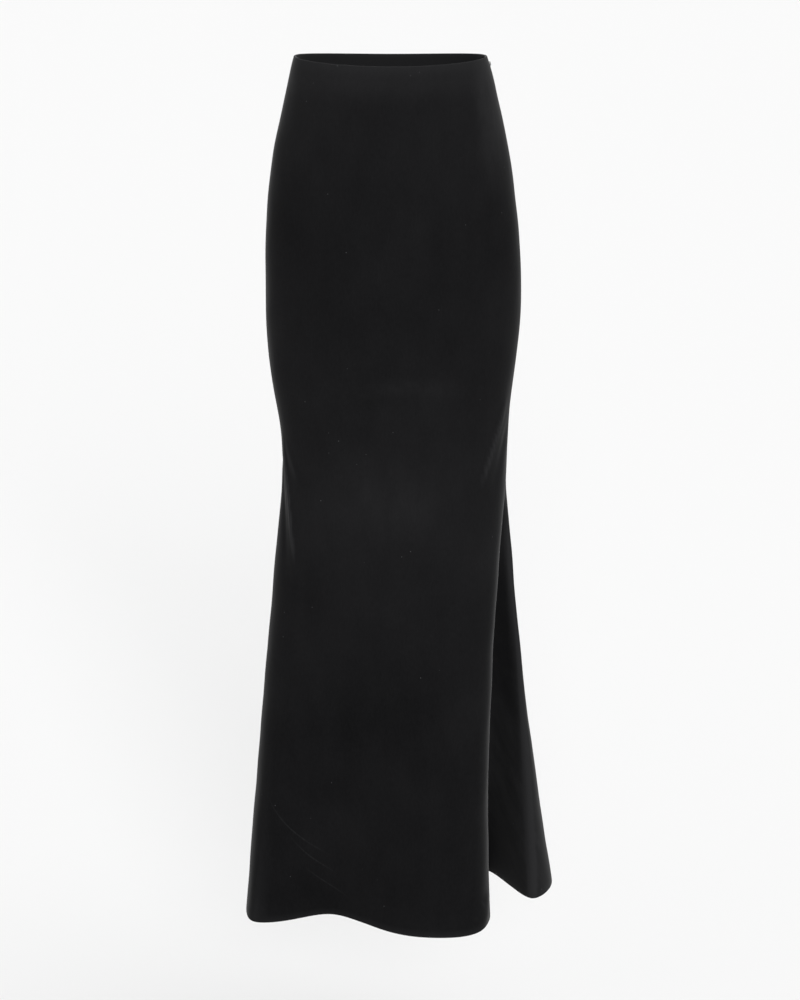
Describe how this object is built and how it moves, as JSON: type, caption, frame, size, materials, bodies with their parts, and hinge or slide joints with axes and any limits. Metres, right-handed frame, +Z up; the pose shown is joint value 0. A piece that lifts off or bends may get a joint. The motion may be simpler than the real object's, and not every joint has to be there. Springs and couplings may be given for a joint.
{
  "type": "mermaid fishtail skirt",
  "caption": "Full-length fitted skirt in black velvet, hollow and in its worn shape, narrow to the knee and flared into deep hanging folds at the hem.",
  "frame": {"origin": "centre of the waist opening, at the height of its side edges, where the skirt is held", "axes": "+Z up out of the waist, -Y to the front of the skirt, +X to the wearer's left"},
  "size_m": [0.4013, 0.3756, 1.0884],
  "materials": {
    "velvet": "black stretch velvet, dark face on and lighter along edges that turn away",
    "zip_tape": "black woven polyester tape",
    "zip_metal": "black lacquered metal"
  },
  "bodies": {
    "skirt": {"front_panel": "velvet", "back_panel": "velvet", "zip_tape_front": "zip_tape", "zip_tape_back": "zip_tape", "zip_slider": "zip_metal"},
    "pull": {"zip_pull": "zip_metal"}
  },
  "joints": [
    {"name": "zip_pull_hinge", "type": "hinge", "parent": "skirt", "child": "pull", "pos_m": [0.11771, 0.02224, -0.01254], "axis": [0.2344, -0.97, 0.0646], "range_deg": [0, 150]}
  ]
}
